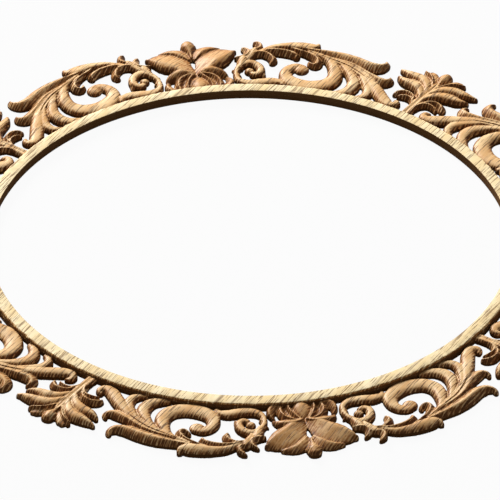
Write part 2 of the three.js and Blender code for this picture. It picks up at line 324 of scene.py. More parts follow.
class SharedGroup:
    """Effect that more than one finish uses: a node group that is built at its first use."""

    NAME: str = ""
    INPUTS: dict[str, float | None] = {}
    OUTPUTS: tuple[str, ...] = ()

    @classmethod
    def tree(cls) -> bpy.types.NodeTree:
        """The group's tree.

        Returns:
            Node group with the named inputs, of which one without a value is a vector, and outputs.
        """
        found = bpy.data.node_groups.get(cls.NAME)
        if found:
            return found
        tree = bpy.data.node_groups.new(cls.NAME, "ShaderNodeTree")
        for label, default in cls.INPUTS.items():
            kind = "NodeSocketVector" if default is None else "NodeSocketFloat"
            socket = tree.interface.new_socket(label, in_out="INPUT", socket_type=kind)
            if default is not None:
                socket.default_value = default
        for label in cls.OUTPUTS:
            tree.interface.new_socket(label, in_out="OUTPUT", socket_type="NodeSocketFloat")
        nodes = Nodes(tree)
        start = nodes.add("NodeGroupInput")
        nodes.add("NodeGroupOutput", cls.effect(nodes, start.outputs))
        return tree

    @classmethod
    def effect(cls, nodes: Nodes, inputs: bpy.types.NodeOutputs) -> dict[str, bpy.types.NodeSocket]:
        """Builds the effect; each group has its own."""
        raise NotImplementedError


class GrainGroup(SharedGroup):
    """Straight wood grain that runs one way through the whole frame.

    The stretches are points per metre along the grain, across it and upwards. The comb is the fine
    even hatch of the cutter, in radians per metre across the grain.
    """

    NAME = "straight_grain"
    INPUTS = {"Vector": None, "Turn": 0.0, "Streak Width": 1.0, "Streak Cover": 0.5}
    OUTPUTS = ("Streak", "Tone", "Fibre", "Hatch", "Height")
    FINE_STRETCH = (20.0, 420.0, 6.0)
    LONG_STRETCH = (9.0, 150.0, 6.0)
    BROAD_STRETCH = (5.0, 46.0, 8.0)
    FIBRE_STRETCH = (90.0, 1700.0, 300.0)
    RAGGED_STRETCH = (80.0, 420.0, 4.0)
    COMB_TURN = 1450.0
    COMB_DRIFT = 9.0
    COMB_DEPTH = 0.14

    @classmethod
    def effect(cls, nodes: Nodes, inputs: bpy.types.NodeOutputs) -> dict[str, bpy.types.NodeSocket]:
        """Draws the grain lines, the tones, the fibres and the hatch.

        Args:
            nodes: Helper for the group's tree.
            inputs: The group's inputs.

        Returns:
            The group's outputs by name.
        """
        turned = nodes.add("ShaderNodeVectorRotate", {
            "Vector": inputs["Vector"], "Angle": inputs["Turn"]}, rotation_type="Z_AXIS").outputs[0]

        def drawn_out(stretch: tuple[float, float, float], detail: float,
                      rough: float) -> bpy.types.NodeSocket:
            """Noise drawn out along the grain by a stretch."""
            laid = nodes.add("ShaderNodeVectorMath", {0: turned, 1: stretch}, operation="MULTIPLY")
            return nodes.add("ShaderNodeTexNoise", {
                "Vector": laid.outputs[0], "Scale": 1.0, "Detail": detail, "Roughness": rough}).outputs[0]

        fine = drawn_out(cls.FINE_STRETCH, 2.0, 0.6)
        long = drawn_out(cls.LONG_STRETCH, 2.0, 0.5)
        broad = drawn_out(cls.BROAD_STRETCH, 2.0, 0.55)
        fibre = drawn_out(cls.FIBRE_STRETCH, 2.0, 0.6)
        ragged = drawn_out(cls.RAGGED_STRETCH, 1.0, 0.5)
        across = nodes.add("ShaderNodeSeparateXYZ", {0: turned}).outputs[1]
        way = nodes.math("MULTIPLY", across, cls.COMB_TURN)
        drift = nodes.math("MULTIPLY_ADD", long, cls.COMB_DRIFT, way)
        comb = nodes.math("MULTIPLY", nodes.math("SINE", drift), cls.COMB_DEPTH)
        hatch = nodes.math("ADD", ragged, comb)
        edge = nodes.math("SUBTRACT", 0.7, nodes.math("MULTIPLY", inputs["Streak Cover"], 0.15))
        lines = nodes.math("MULTIPLY", nodes.math("SUBTRACT", fine, edge), 16.0)
        wide = nodes.math("MULTIPLY", nodes.math("SUBTRACT", long, edge), 12.0)
        both = nodes.math("MAXIMUM", lines, nodes.math("MULTIPLY", wide, inputs["Streak Width"]))
        streak = nodes.spread(both, 0.0, 1.0)
        return {
            "Streak": streak,
            "Tone": nodes.spread(broad, 0.32, 0.68),
            "Fibre": nodes.spread(fibre, 0.3, 0.7),
            "Hatch": nodes.math("MULTIPLY", nodes.math("SUBTRACT", hatch, 0.5), 4.0),
            "Height": nodes.math("SUBTRACT", nodes.math("MULTIPLY", fibre, 0.35), streak),
        }


class PaintedShadeGroup(SharedGroup):
    """Painted shade: dark colour laid on the steep walls, the slopes and the low places of the carving,
    by their tilt and height.
    """

    NAME = "painted_recess_shade"
    INPUTS = {"Vector": None, "Low": 0.002, "High": 0.010}
    OUTPUTS = ("Wall", "Slope")
    PATCHES = 220.0
    RAGGEDNESS = 0.15

    @classmethod
    def effect(cls, nodes: Nodes, inputs: bpy.types.NodeOutputs) -> dict[str, bpy.types.NodeSocket]:
        """Finds the walls, the slopes and the low places.

        Args:
            nodes: Helper for the group's tree.
            inputs: The group's inputs.

        Returns:
            The group's outputs by name.
        """
        surface = nodes.add("ShaderNodeNewGeometry")
        upright = nodes.add("ShaderNodeSeparateXYZ", {0: surface.outputs["Normal"]}).outputs[2]
        level = nodes.add("ShaderNodeSeparateXYZ", {0: inputs["Vector"]}).outputs[2]
        patch = nodes.add("ShaderNodeTexNoise", {
            "Vector": inputs["Vector"], "Scale": cls.PATCHES, "Detail": 2.0}).outputs[0]
        stray = nodes.math("MULTIPLY", nodes.math("SUBTRACT", patch, 0.5), cls.RAGGEDNESS)
        ragged = nodes.math("ADD", upright, stray)
        # Painted shade: darker towards the bottom of the carving, between the Low and High heights.
        rise = nodes.math("SUBTRACT", level, inputs["Low"])
        reach = nodes.math("SUBTRACT", inputs["High"], inputs["Low"])
        depth = nodes.spread(nodes.math("DIVIDE", rise, reach), 1.0, 0.0)
        # Painted shade: Slope darkens faces the more they tilt away from upwards, and the low places;
        # Wall darkens the steep walls.
        return {
            "Wall": nodes.spread(ragged, 0.5, 0.08),
            "Slope": nodes.math("MAXIMUM", nodes.spread(ragged, 1.03, 0.62), depth),
        }


@dataclass(frozen=True)
class WoodFinish:
    """Waxed wood with dark grain lines, and painted shade on its slopes, steep walls and low places."""

    name: str
    pale: str
    warm: str
    # flank and slope are painted shade colours laid on tilted faces and low places, wall is painted shade
    # on steep walls; slope_share sets how much of it is laid.
    flank: str
    line: str
    slope: str
    wall: str
    slope_share: float
    line_share: float
    streak_width: float
    streak_cover: float
    hatch: float
    roughness: float
    bump: float
    # low and high: heights over which the painted shade grows darker towards the bottom.
    low: float
    high: float
    turn: float = 48.5
    gloss: float = 0.06
    grain_depth: float = 0.0004

    def material(self) -> bpy.types.Material:
        """Builds the finish.

        Returns:
            The new material.
        """
        made = bpy.data.materials.new(self.name)
        nodes = bare(made)
        place = nodes.add("ShaderNodeTexCoord").outputs["Object"]
        grain = nodes.add("ShaderNodeGroup", {
            "Vector": place, "Turn": -math.radians(self.turn), "Streak Width": self.streak_width,
            "Streak Cover": self.streak_cover}, node_tree=GrainGroup.tree()).outputs
        painted_shade_masks = nodes.add("ShaderNodeGroup", {"Vector": place, "Low": self.low, "High": self.high},
                          node_tree=PaintedShadeGroup.tree()).outputs
        fibre = nodes.math("MULTIPLY", grain["Fibre"], 0.25)
        tone = nodes.math("ADD", nodes.math("MULTIPLY", grain["Tone"], 0.8), fibre)
        clean = nodes.blend(tone, linear(self.pale), linear(self.warm))
        comb = nodes.math("ADD", 1.0, nodes.math("MULTIPLY", grain["Hatch"], self.hatch))
        # Painted shade: slopes and low places turn mid brown, then dark brown, more where the hatch is
        # dark.
        sunk = nodes.math("MULTIPLY", nodes.math("MULTIPLY", painted_shade_masks["Slope"], comb), self.slope_share)
        flank_shaded = nodes.blend(nodes.spread(sunk, 0.0, 0.42), clean, linear(self.flank))
        slope_shaded = nodes.blend(nodes.spread(sunk, 0.45, 1.0), flank_shaded, linear(self.slope))
        lines = nodes.math("MULTIPLY", grain["Streak"], self.line_share)
        lined = nodes.blend(lines, slope_shaded, linear(self.line))
        # Painted shade on the steep walls, dark brown with a ragged edge; the same wall mask also
        # roughens them.
        ragged = nodes.math("MULTIPLY_ADD", grain["Hatch"], 0.16, painted_shade_masks["Wall"])
        walled = nodes.blend(nodes.spread(ragged, 0.25, 0.75), lined, linear(self.wall))
        shine = nodes.spread(grain["Streak"], 0.0, 1.0, self.roughness, self.roughness + 0.2)
        rough = nodes.math("MAXIMUM", shine, nodes.math("MULTIPLY", painted_shade_masks["Wall"], 0.9))
        relief = nodes.add("ShaderNodeBump", {
            "Height": grain["Height"], "Strength": self.bump, "Distance": self.grain_depth})
        nodes.surface(nodes.add("ShaderNodeBsdfPrincipled", {
            "Base Color": walled, "Roughness": rough, "Normal": relief.outputs[0],
            "Specular IOR Level": self.gloss}))
        return made


@dataclass(frozen=True)
class SteelFinish:
    """Zinc-plated steel with fine rubbing marks."""

    name: str
    bright: str
    dull: str
    roughness: float
    spangles: float = 900.0
    marks: float = 4200.0
    mark_depth: float = 0.0001

    def material(self) -> bpy.types.Material:
        """Builds the finish.

        Returns:
            The new material.
        """
        made = bpy.data.materials.new(self.name)
        nodes = bare(made)
        place = nodes.add("ShaderNodeTexCoord").outputs["Object"]
        spangle = nodes.add("ShaderNodeTexNoise", {
            "Vector": place, "Scale": self.spangles, "Detail": 3.0}).outputs[0]
        rubbed = nodes.add("ShaderNodeTexNoise", {
            "Vector": place, "Scale": self.marks, "Detail": 2.0}).outputs[0]
        colour = nodes.blend(nodes.spread(spangle, 0.35, 0.65), linear(self.bright), linear(self.dull))
        shine = nodes.spread(spangle, 0.3, 0.7, self.roughness - 0.08, self.roughness + 0.12)
        relief = nodes.add("ShaderNodeBump", {
            "Height": rubbed, "Strength": 0.15, "Distance": self.mark_depth})
        nodes.surface(nodes.add("ShaderNodeBsdfPrincipled", {
            "Base Color": colour, "Roughness": shine, "Metallic": 1.0, "Normal": relief.outputs[0]}))
        return made


# The flank, slope and wall colours of each wood are painted shade.
CARVED_WOOD = WoodFinish(
    name="carved_wood", pale="ecca98", warm="d3a269", flank="ab7645", line="4a2a12", slope="6c4423",
    wall="5a391b", slope_share=0.95, line_share=0.8, streak_width=0.3, streak_cover=0.9, hatch=1.3,
    roughness=0.38, bump=0.6, low=0.001, high=0.011)
# The flower's wood is a darker copy of the carved wood, with more painted shade on its sloping petals.
FLOWER_WOOD = replace(
    CARVED_WOOD, name="flower_wood", pale="d8b07c", warm="b98650", slope_share=1.5, line_share=0.6)
RIM_WOOD = WoodFinish(
    name="rim_wood", pale="f8e6bd", warm="ecd09a", flank="d9ae72", line="643a14", slope="9a6a38",
    wall="6c4a2a", slope_share=0.8, line_share=0.75, streak_width=0.4, streak_cover=1.05, hatch=1.0,
    roughness=0.42, bump=0.5, low=0.004, high=0.013)
DOWEL_WOOD = WoodFinish(
    name="dowel_wood", pale="e6cfa4", warm="d8ba88", flank="d0b080", line="a88454", slope="c8a878",
    wall="c0a070", slope_share=0.2, line_share=0.4, streak_width=0.5, streak_cover=0.4, hatch=0.3,
    roughness=0.6, bump=0.3, low=0.001, high=0.008)
HANGER_STEEL = SteelFinish(name="hanger_steel", bright="c4c6c8", dull="9a9da0", roughness=0.34)


def dress(obj: bpy.types.Object, material: bpy.types.Material, node: str,
          body: str = BODY) -> None:
    """Gives a finished piece its material and body, and hides the solid that it stands for.

    Args:
        obj: Finished piece.
        material: Its material.
        node: Solid that it stands for.
        body: Body that it moves with.
    """
    obj.data.materials.clear()
    obj.data.materials.append(material)
    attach(obj, body)
    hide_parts(node)
    LOG.info("%s: %d faces, for %s", obj.name, len(obj.data.polygons), node)


# Carving


@dataclass(frozen=True)
class Section:
    """Cross-section of a carved stroke.

    Args:
        shoulder: How far the crown stays level on both sides of the crest; 1 is a keel.
        drop: How the flanks come down: 0.5 is round, 1 is straight, more is hollow.
        base: Share of the height that stands upright at the edges.
        lean: Shift of the crest towards the stroke's right edge.
        grooves: Grooves as (place across, width, depth), shares of half width and height.
    """

    shoulder: float = 2.4
    drop: float = 0.5
    base: float = 0.42
    lean: float = 0.0
    grooves: tuple[tuple[float, float, float], ...] = ()

    def outline(self, steps: int) -> np.ndarray:
        """Closed outline of the section.

        Args:
            steps: Steps over the top, from edge to edge.

        Returns:
            Rows of (place across from -1 to 1, share of the height).
        """
        across = -np.cos(np.linspace(0.0, math.pi, steps + 1))
        top = (1.0 - np.abs(across) ** self.shoulder).clip(0.0) ** self.drop
        for place, width, depth in self.grooves:
            top = top - depth * np.exp(-(((across - place) / width) ** 2)) * (1.0 - across ** 2)
        leaned = across + self.lean * (1.0 - across ** 2)
        skin = np.stack([leaned, self.base + (1.0 - self.base) * top.clip(0.0)], 1)
        return np.concatenate([skin, [[1.0, 0.0], [-1.0, 0.0], skin[0]]])


TUBE = Section()
VOLUTE = Section(base=0.36, lean=0.1)
STEM = Section(shoulder=2.8, grooves=((-0.36, 0.16, 0.35), (0.36, 0.16, 0.35)))
RIB = Section(shoulder=2.4, grooves=((0.0, 0.34, 0.26),))
LEAF = Section(shoulder=1.4, drop=0.85, base=0.36, lean=0.12)
RIDGE = Section(shoulder=1.25, drop=0.9, base=0.34)
CUP = Section(shoulder=1.5, drop=0.8, base=0.46, lean=-0.35)
EDGED_LEAF = Section(shoulder=1.9, drop=0.62, base=0.56, lean=-0.3)
LEAFLET = Section(shoulder=2.0, drop=0.6, base=0.36, lean=-0.1)
DOME = Section(shoulder=2.6)
PETAL = Section(shoulder=1.4, drop=1.0, base=0.42, lean=-0.44)
ARCH = Section(shoulder=1.6, drop=0.75, base=0.2, lean=0.3)
BUD = Section(shoulder=2.0, drop=0.6, base=0.2)
KNOB = Section(shoulder=1.8, drop=0.7, base=0.46)
CRESCENT = Section(shoulder=1.5, drop=0.8, base=0.4, lean=-0.36)


@dataclass(frozen=True)
class Stroke:
    """One carved stroke: stations of (degrees, reach, half width, crest share) and its section."""

    stations: tuple[Station, ...]
    section: Section = TUBE
    paired: bool = False


@dataclass
class Ornament:
    """A carved ornament, drawn on the X axis and repeated round the rim.

    Args:
        kind: Name of its solids.
        axis: Angle in a sector, in degrees, that its copies stand at.
        strokes: Strokes that it is carved from.
        hand: Side that its strokes bend to.
        balls: Its ball ends, as (degrees, reach, radius, crest share).
    """

    kind: str
    axis: float
    strokes: tuple[Stroke, ...]
    hand: Hand = Hand.LEFT
    rim_radius: float = 416.0
    glue_gap: float = 0.12
    carving_height: float = 13.2
    fall: float = 0.03
    fall_reach: float = 130.0
    row_step: float = 1.6
    steps_across: int = 22
    thinnest: float = 0.4
    end_rows: int = 6
    end_turn: float = 0.48
    end_reach: float = 0.85
    end_drop: float = 0.6
    ball_seat: float = 0.38
    voxel: float = 0.96
    trim_sides: int = 512
    trim_depth: float = 100.0
    ease_factor: float = 0.5
    ease_rounds: int = 3
    uneven_length: float = 16.0
    uneven_depth: float = 0.6
    sectors: int = 4
    balls: tuple[Station, ...] = ()

    def build(self, material: bpy.types.Material) -> None:
        """Carves the ornament once and sets its copies round the rim.

        Args:
            material: Wood of the carving.
        """
        carved = self._carve()
        for number in range(1, self.sectors + 1):
            dress(self._copy(carved, number), material, f"{self.kind}_{number}")
        bpy.data.objects.remove(carved)

    def _carve(self) -> bpy.types.Object:
        """Joins the strokes into one skin and trims it to the rim.

        Returns:
            The carving on the X axis, to be copied.
        """
        parts = []
        for stroke in self.strokes:
            for side in ((1, -1) if stroke.paired else (1,)):
                parts.append(self._stroke(stroke, side))
        parts.extend(self._ball(ball) for ball in self.balls)
        choose(*parts)
        bpy.ops.object.join()
        carved = bpy.context.active_object
        carved.name = f"{self.kind}_carved"
        if self.hand is Hand.RIGHT:
            carved.scale.y = -1.0
            settle(carved)
            close_up(carved)
        skin = carved.modifiers.new("skin", "REMESH")
        skin.mode = "VOXEL"
        skin.voxel_size = self.voxel * MM
        apply_modifiers(carved)
        choose_none()
        bpy.ops.mesh.primitive_cylinder_add(vertices=self.trim_sides, depth=self.trim_depth * MM,
                                            radius=(self.rim_radius + self.glue_gap) * MM)
        boolean(carved, bpy.context.active_object, "DIFFERENCE")
        ease = carved.modifiers.new("ease", "SMOOTH")
        ease.factor = self.ease_factor
        ease.iterations = self.ease_rounds
        apply_modifiers(carved)
        return carved

    def _rows(self, stroke: Stroke, side: int) -> np.ndarray:
        """Draws a smooth line through a stroke's stations.

        Args:
            stroke: Stroke to draw.
            side: 1, or -1 for the mirror image of a paired stroke.

        Returns:
            Rows of (x, y, half width, crest) in metres, with rounded ends.
        """
        table = np.array(stroke.stations, float)
        angle = np.radians(side * table[:, 0])
        radius = self.rim_radius + table[:, 1]
        keys = np.stack([radius * np.cos(angle), radius * np.sin(angle), table[:, 2],
                         table[:, 3] * self.carving_height], 1)
        padded = np.concatenate([2 * keys[:1] - keys[1:2], keys, 2 * keys[-1:] - keys[-2:-1]])
        rows = []
        for span in range(len(keys) - 1):
            before, first, last, after = padded[span:span + 4]
            length = np.linalg.norm(last[:2] - first[:2])
            count = max(3, int(round(length / self.row_step)))
            share = (np.arange(count) / count)[:, None]
            rows.append(0.5 * (2 * first + (last - before) * share
                               + (2 * before - 5 * first + 4 * last - after) * share ** 2
                               + (3 * first - before - 3 * last + after) * share ** 3))
        rows.append(keys[-1:])
        line = np.concatenate(rows)
        line[:, 2:] = line[:, 2:].clip(self.thinnest)
        return self._rounded(line) * MM

    def _rounded(self, line: np.ndarray) -> np.ndarray:
        """Adds a rounded end of a few rows at both ends of a centreline.

        Args:
            line: Rows of (x, y, half width, crest).

        Returns:
            The longer line.
        """
        turns = np.linspace(0.0, self.end_turn * math.pi, self.end_rows + 1)[1:]

        def end(tip: np.ndarray, inner: np.ndarray) -> np.ndarray:
            """Rows that close the stroke past its tip.

            Args:
                tip: Last row of the line.
                inner: Row before it.

            Returns:
                The new rows, outwards.
            """
            way = (tip[:2] - inner[:2]) / np.linalg.norm(tip[:2] - inner[:2])
            rows = np.repeat(tip[None], len(turns), 0)
            rows[:, :2] += self.end_reach * tip[2] * np.sin(turns)[:, None] * way
            rows[:, 2] *= np.cos(turns)
            rows[:, 3] *= 1.0 - self.end_drop * (1.0 - np.cos(turns))
            return rows

        return np.concatenate([end(line[0], line[1])[::-1], line, end(line[-1], line[-2])])

    def _stroke(self, stroke: Stroke, side: int) -> bpy.types.Object:
        """Rolls one stroke's skin round its centreline.

        Args:
            stroke: Stroke to carve.
            side: 1, or -1 for the mirror image of a paired stroke.

        Returns:
            The closed stroke.
        """
        rows = self._rows(stroke, side)
        outline = stroke.section.outline(self.steps_across)
        along = np.gradient(rows[:, :2], axis=0)
        along /= np.linalg.norm(along, axis=1)[:, None]
        across = side * np.stack([along[:, 1], -along[:, 0]], 1)
        points = np.zeros((len(rows), len(outline), 3))
        shift = (outline[None, :, 0] * rows[:, None, 2])[..., None]
        points[..., :2] = rows[:, None, :2] + shift * across[:, None]
        points[..., 2] = outline[None, :, 1] * rows[:, None, 3]
        reach = np.hypot(points[..., 0], points[..., 1]) / MM - self.rim_radius
        points[..., 2] *= 1.0 - self.fall * (reach / self.fall_reach).clip(0.0, 1.0)
        sheet = rolled_sheet("stroke", points)
        close_up(sheet, 1e-7)
        return sheet

    def _ball(self, ball: Station) -> bpy.types.Object:
        """Makes the rounded ball end of a scroll, cut flat at the back.

        Args:
            ball: Its degrees, reach, radius and crest share.

        Returns:
            The ball.
        """
        degrees, reach, size, crest = ball
        angle, radius = math.radians(degrees), (self.rim_radius + reach) * MM
        height = crest * self.carving_height * (1.0 - self.fall * reach / self.fall_reach)
        choose_none()
        bpy.ops.mesh.primitive_uv_sphere_add(segments=40, ring_count=24, radius=1.0, location=(
            radius * math.cos(angle), radius * math.sin(angle), self.ball_seat * height * MM))
        made = bpy.context.active_object
        made.scale = (size * MM, size * MM, (1.0 - self.ball_seat) * height * MM)
        settle(made)
        with editing(made):
            bpy.ops.mesh.bisect(plane_co=(0, 0, 0), plane_no=(0, 0, 1), use_fill=True, clear_inner=True)
        return made

    def _copy(self, carved: bpy.types.Object, number: int) -> bpy.types.Object:
        """Copies the carving to its sector, with hand-cut unevenness of its own.

        Args:
            carved: Carving on the X axis.
            number: Sector, from 1.

        Returns:
            The finished copy.
        """
        piece = copied(carved, f"{self.kind}_{number}_carving")
        piece.rotation_euler.z = math.radians(self.axis + (number - 1) * 360 / self.sectors)
        settle(piece)
        uneven = bpy.data.textures.get("uneven") or bpy.data.textures.new("uneven", "CLOUDS")
        uneven.noise_scale = self.uneven_length * MM
        cut = piece.modifiers.new("hand_cut", "DISPLACE")
        cut.texture = uneven
        cut.texture_coords = "LOCAL"
        cut.strength = self.uneven_depth * MM
        cut.mid_level = 0.5
        apply_modifiers(piece)
        points = points_of(piece)
        points[:, 2] = points[:, 2].clip(0.0)
        place_points(piece, points)
        bpy.ops.object.shade_smooth()
        return piece


SCROLL_STROKES = (
    # big volute, from the stem down to the rim and round to its ball
    Stroke((
        (20.6, 99, 3.5, .8), (24, 85, 6, .9), (26, 65, 10.5, .93), (26.8, 43, 13, .86),
        (25.8, 24, 14.5, .8), (23.2, 14, 15, .76), (20.4, 14.5, 15, .76), (18.1, 24.5, 13, .76),
        (17.3, 40, 10.5, .74), (17.8, 53, 9.5, .7), (19, 60, 9, .67),
        (20.3, 58, 8.5, .66)), VOLUTE),
    # small curl, from its knob beside the volute, along the rim, up and round to its bud
    Stroke((
        (17.2, 9, 4, .7), (16.4, 15, 7.5, .76), (14.6, 15.5, 10, .8), (12.6, 11.5, 10, .85),
        (10.4, 9, 9, .82), (8.4, 16, 6.5, .8), (7.7, 31, 5, .8), (8.1, 48, 5.5, .84),
        (9.3, 60.5, 7, .86), (10.8, 62, 7.5, .88), (12.1, 53, 7.5, .88), (12.5, 41, 7, .86),
        (11.8, 33, 6.5, .8), (10.9, 34, 5.5, .75)), TUBE),
    Stroke((
        (12.9, 42, 4, .7), (13.2, 33, 3, .6), (13.4, 28, 1.4, .4)), RIDGE),
    Stroke((
        (8.4, 30, 3.5, .7), (7.6, 42, 3.2, .6), (7.1, 47, 2, .5)), RIDGE),
    # main stem, to its curled foot beside the leaf spray
    Stroke((
        (20.6, 99, 3.5, .9), (24.5, 86, 5, 1), (28.5, 75, 6.5, 1), (32.3, 58, 8, .98),
        (34.8, 42, 8, .9)), STEM),
    Stroke((
        (31, 65, 5, .85), (33.4, 51, 8.5, .92), (36, 34, 11, .94), (38.5, 17, 11.5, .9),
        (40.3, 10, 9.5, .85), (41.5, 14, 7, .8), (41.5, 20.5, 5.5, .74),
        (40.9, 23.5, 3.8, .64)), TUBE),
    # big leaf and second leaf with their blunt tips
    Stroke((
        (18.6, 104, 3.5, .95), (22.5, 101, 8, 1.05), (26, 98, 12.5, 1.1), (29, 94, 13.5, 1.1),
        (31.7, 89, 12.5, 1.06), (33.5, 91.5, 11, 1), (34.2, 99, 8, .9), (34.3, 105, 5.5, .78),
        (34.1, 109, 4, .66)), LEAF),
    Stroke((
        (23.4, 90, 4, .9), (28.5, 81, 6, .98), (32.5, 66, 8.5, 1), (35.1, 58.5, 11, .98),
        (36.4, 60.5, 9.5, .92), (36.9, 66.5, 7, .86), (36.8, 71, 4.5, .74),
        (36.6, 73.5, 3.2, .64)), LEAF),
    # two leaves that curl over along the rim towards the volute
    Stroke((
        (26.6, 79, 4, .85), (29, 60, 7.5, .92), (30.7, 42, 10.5, .92), (31.1, 25, 11.5, .86),
        (30.2, 11, 10, .8), (28.6, 4, 7.5, .74), (27.2, 2, 4.5, .6)), VOLUTE),
    Stroke((
        (30.6, 65, 4, .85), (32.8, 45, 6.5, .88), (34.4, 28, 8.5, .86), (34.6, 14, 8.5, .8),
        (33.6, 5, 6.5, .74), (32.2, 1.5, 4, .6)), VOLUTE),
    # upper leaf, and the two leaflets that hang inside it
    Stroke((
        (12, 93, 3.5, .85), (14.4, 106, 6.5, .9), (17, 111, 9, 1), (19, 111.5, 11, 1.06),
        (20.6, 112, 10.5, 1.02), (21.5, 115.5, 8, .92), (21.7, 121, 4.5, .76)), EDGED_LEAF),
    Stroke((
        (11.6, 88, 4.5, .9), (13.8, 95, 7.5, 1), (16, 95.5, 8.5, 1), (17.6, 92, 8, .98),
        (18.5, 87.5, 7, .92), (18.6, 84, 5.5, .8)), RIDGE),
    Stroke((
        (17.5, 103, 3.5, .9), (19.6, 96.5, 5, .98), (21.4, 89, 6.5, 1), (22.5, 80, 7.5, 1),
        (22.75, 71.5, 7.5, .96), (22.2, 67, 6.5, .88), (21.4, 70, 5, .78),
        (21.1, 74, 3.5, .66)), RIDGE),
    # calyx beside the flower: hooked leaflet, and two whose ends turn back towards the flower
    Stroke((
        (9.6, 62, 4.5, .85), (9.9, 75, 5.5, .92), (11.2, 86, 7, .98), (12.8, 88.5, 7.5, .98),
        (14.1, 81, 7.5, .95), (14.6, 72, 7, .88), (14.5, 67, 5.5, .76)), RIDGE),
    Stroke((
        (10.1, 70, 5, .88), (10.6, 82, 8, .96), (11, 92, 9.5, 1), (11.2, 97, 6, .97)), LEAFLET),
    Stroke((
        (10.1, 92, 2.5, .88), (11.1, 96.5, 4.2, .99), (11.9, 101, 5.5, 1.02), (11.95, 108, 6, 1),
        (11.5, 113.5, 5, .9), (11.1, 116, 3.2, .76)), CUP),
    Stroke((
        (8.5, 50, 5.5, .85), (8.8, 62, 8, .94), (9.1, 71, 9.5, .98), (9.2, 76, 6, .96)), LEAFLET),
    Stroke((
        (7.8, 76, 2.5, .88), (8.9, 78, 4.2, .98), (9.7, 82, 5.5, 1.02), (9.95, 90, 6, 1),
        (9.6, 97, 5, .9), (9.1, 101, 3.2, .76)), CUP),
)
SCROLL_BALLS = ((20.1, 54.5, 12, 0.7), (10.3, 42, 8, .78))

FLOWER_STROKES = (
    # outer bud, and middle bud that is seated on the rim
    Stroke((
        (0, 84, 3.5, .74), (0, 95, 5, .84), (0, 104, 9.5, .96), (0, 111.5, 12.5, 1.06),
        (0, 118.5, 10.5, 1.02)), KNOB),
    Stroke((
        (0, -2, 14, .96), (0, 8, 16.5, 1), (0, 19, 15.5, .88), (0, 28, 11, .68),
        (0, 35, 6, .46)), BUD),
    # upper petal that lies low behind the large one
    Stroke((
        (.5, 81, 5, .72), (1.2, 92.5, 10, .82), (2.1, 101.5, 10.5, .82), (3.3, 106, 8.5, .74),
        (4.4, 107, 5.5, .62), (5.1, 107, 3, .5)), CRESCENT, True),
    # large petal with its full outer shoulder
    Stroke((
        (.6, 38, 7, .86), (1.2, 46, 12.5, 1), (2, 55, 17, 1.08), (3.3, 72, 24, 1.12),
        (5.2, 84.5, 22, 1.08), (6.8, 92.5, 13, .92), (7.5, 96, 5.5, .72)), PETAL, True),
    # arched petal that comes down to a low tip
    Stroke((
        (.5, 36, 3.5, .86), (1.3, 40.5, 7, 1), (2.6, 42.5, 11.5, 1.1), (4, 40.5, 12, 1),
        (4.9, 37.5, 10, .8), (5.5, 34, 7, .56), (5.8, 31, 4.5, .36)), ARCH, True),
    # two folds with hollows between them, and the hooked leaflet that curls round from the rim
    Stroke((
        (2.6, -2, 13, .5), (2.7, 14, 13, .52), (1.9, 28, 11, .55)), DOME, True),
    Stroke((
        (2.7, -2, 5, .85), (2.5, 11, 5.5, .95), (1.9, 23, 5.5, .98),
        (.9, 36, 4.5, .92)), RIDGE, True),
    Stroke((
        (4.1, -2, 5.5, .75), (4.35, 10, 7, .88), (4, 22, 7, .95), (3, 32, 5.5, .95),
        (1.4, 38, 4.5, .9)), RIDGE, True),
    Stroke((
        (4.4, 2, 5, .8), (5.5, 1.5, 6.5, .86), (6.15, 8, 7.5, .9), (6.35, 16, 6.5, .82),
        (6.2, 22, 5, .66), (5.9, 26, 3.5, .5)), CUP, True),
)

SPRAY_STROKES = (
    # central rib and the bud at its end
    Stroke((
        (0, -2, 9, .84), (0, 22, 8, .93), (0, 60, 7.5, 1), (0, 92, 5, .92)), RIB),
    Stroke((
        (0, 90, 4, .82), (0, 98.5, 5, .84), (0, 107, 10.5, 1.02), (0, 114, 11, 1.04),
        (0, 117, 10, 1)), KNOB),
    # two curled folds near the rim
    Stroke((
        (.4, 14, 4.5, .85), (.8, 30, 4.5, .93), (1.8, 39, 5, .96), (3, 40, 5, .94),
        (4, 37.5, 4, .84), (4.4, 35, 2.8, .7)), RIDGE, True),
    Stroke((
        (.6, 26, 4, .85), (1.5, 43, 5.5, .95), (2.7, 49.5, 6.5, .98), (4.1, 49.5, 7, .95),
        (5.1, 44.5, 6.5, .86), (5.4, 40, 4.5, .74)), RIDGE, True),
    # two long leaves
    Stroke((
        (.4, 50, 6, .95), (1.9, 66.5, 10, 1.03), (3.7, 73.5, 11.5, 1.04), (5.6, 76, 9, .98),
        (6.8, 80.5, 5.5, .82), (7.2, 83.5, 3.5, .66)), LEAFLET, True),
    Stroke((
        (.4, 68, 6, .95), (1.8, 85, 10.5, 1.05), (3.4, 93, 11.5, 1.06), (5.4, 95.5, 9.5, 1),
        (6.9, 98, 5.5, .86), (7.6, 100.5, 3.5, .7)), LEAFLET, True),
    # short leaf beside the bud: its edge and the hollow behind it
    Stroke((
        (.5, 84, 4, .9), (1.5, 98, 5, 1), (2.5, 107, 5.5, 1.02), (3.4, 111, 5, .94),
        (3.8, 114, 3.5, .8)), RIDGE, True),
    Stroke((
        (.8, 92, 5, .6), (1.6, 104, 7.5, .66), (2.3, 113, 7.5, .62),
        (2.9, 117, 5, .52)), DOME, True),
)


# Rim


